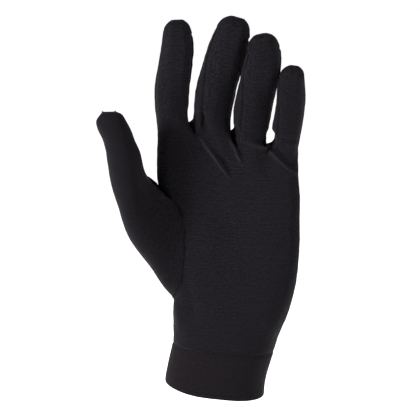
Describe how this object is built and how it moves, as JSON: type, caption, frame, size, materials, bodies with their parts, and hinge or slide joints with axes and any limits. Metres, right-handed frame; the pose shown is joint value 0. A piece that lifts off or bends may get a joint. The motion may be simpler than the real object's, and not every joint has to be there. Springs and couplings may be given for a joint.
{
  "type": "glove liner",
  "caption": "Thin fitted dark knit glove liner for the left hand, held upright with the fingers a little bent, with fourchettes, a set-in thumb and a short cuff band.",
  "frame": {"origin": "middle of the wrist opening, in the plane of the hem", "axes": "+Z from the wrist up to the fingertips, +Y from the palm to the back of the hand, -X towards the thumb"},
  "size_m": [0.1324, 0.0598, 0.2516],
  "materials": {
    "glove_cloth": "fine smooth knit, matt with a soft sheen",
    "cuff_cloth": "folded double knit, matt"
  },
  "bodies": {
    "root": {"palm_panel": "glove_cloth", "back_panel": "glove_cloth", "fourchette_index_middle": "glove_cloth", "fourchette_middle_ring": "glove_cloth", "fourchette_ring_little": "glove_cloth", "thumb": "glove_cloth", "cuff_band": "cuff_cloth"}
  },
  "joints": []
}
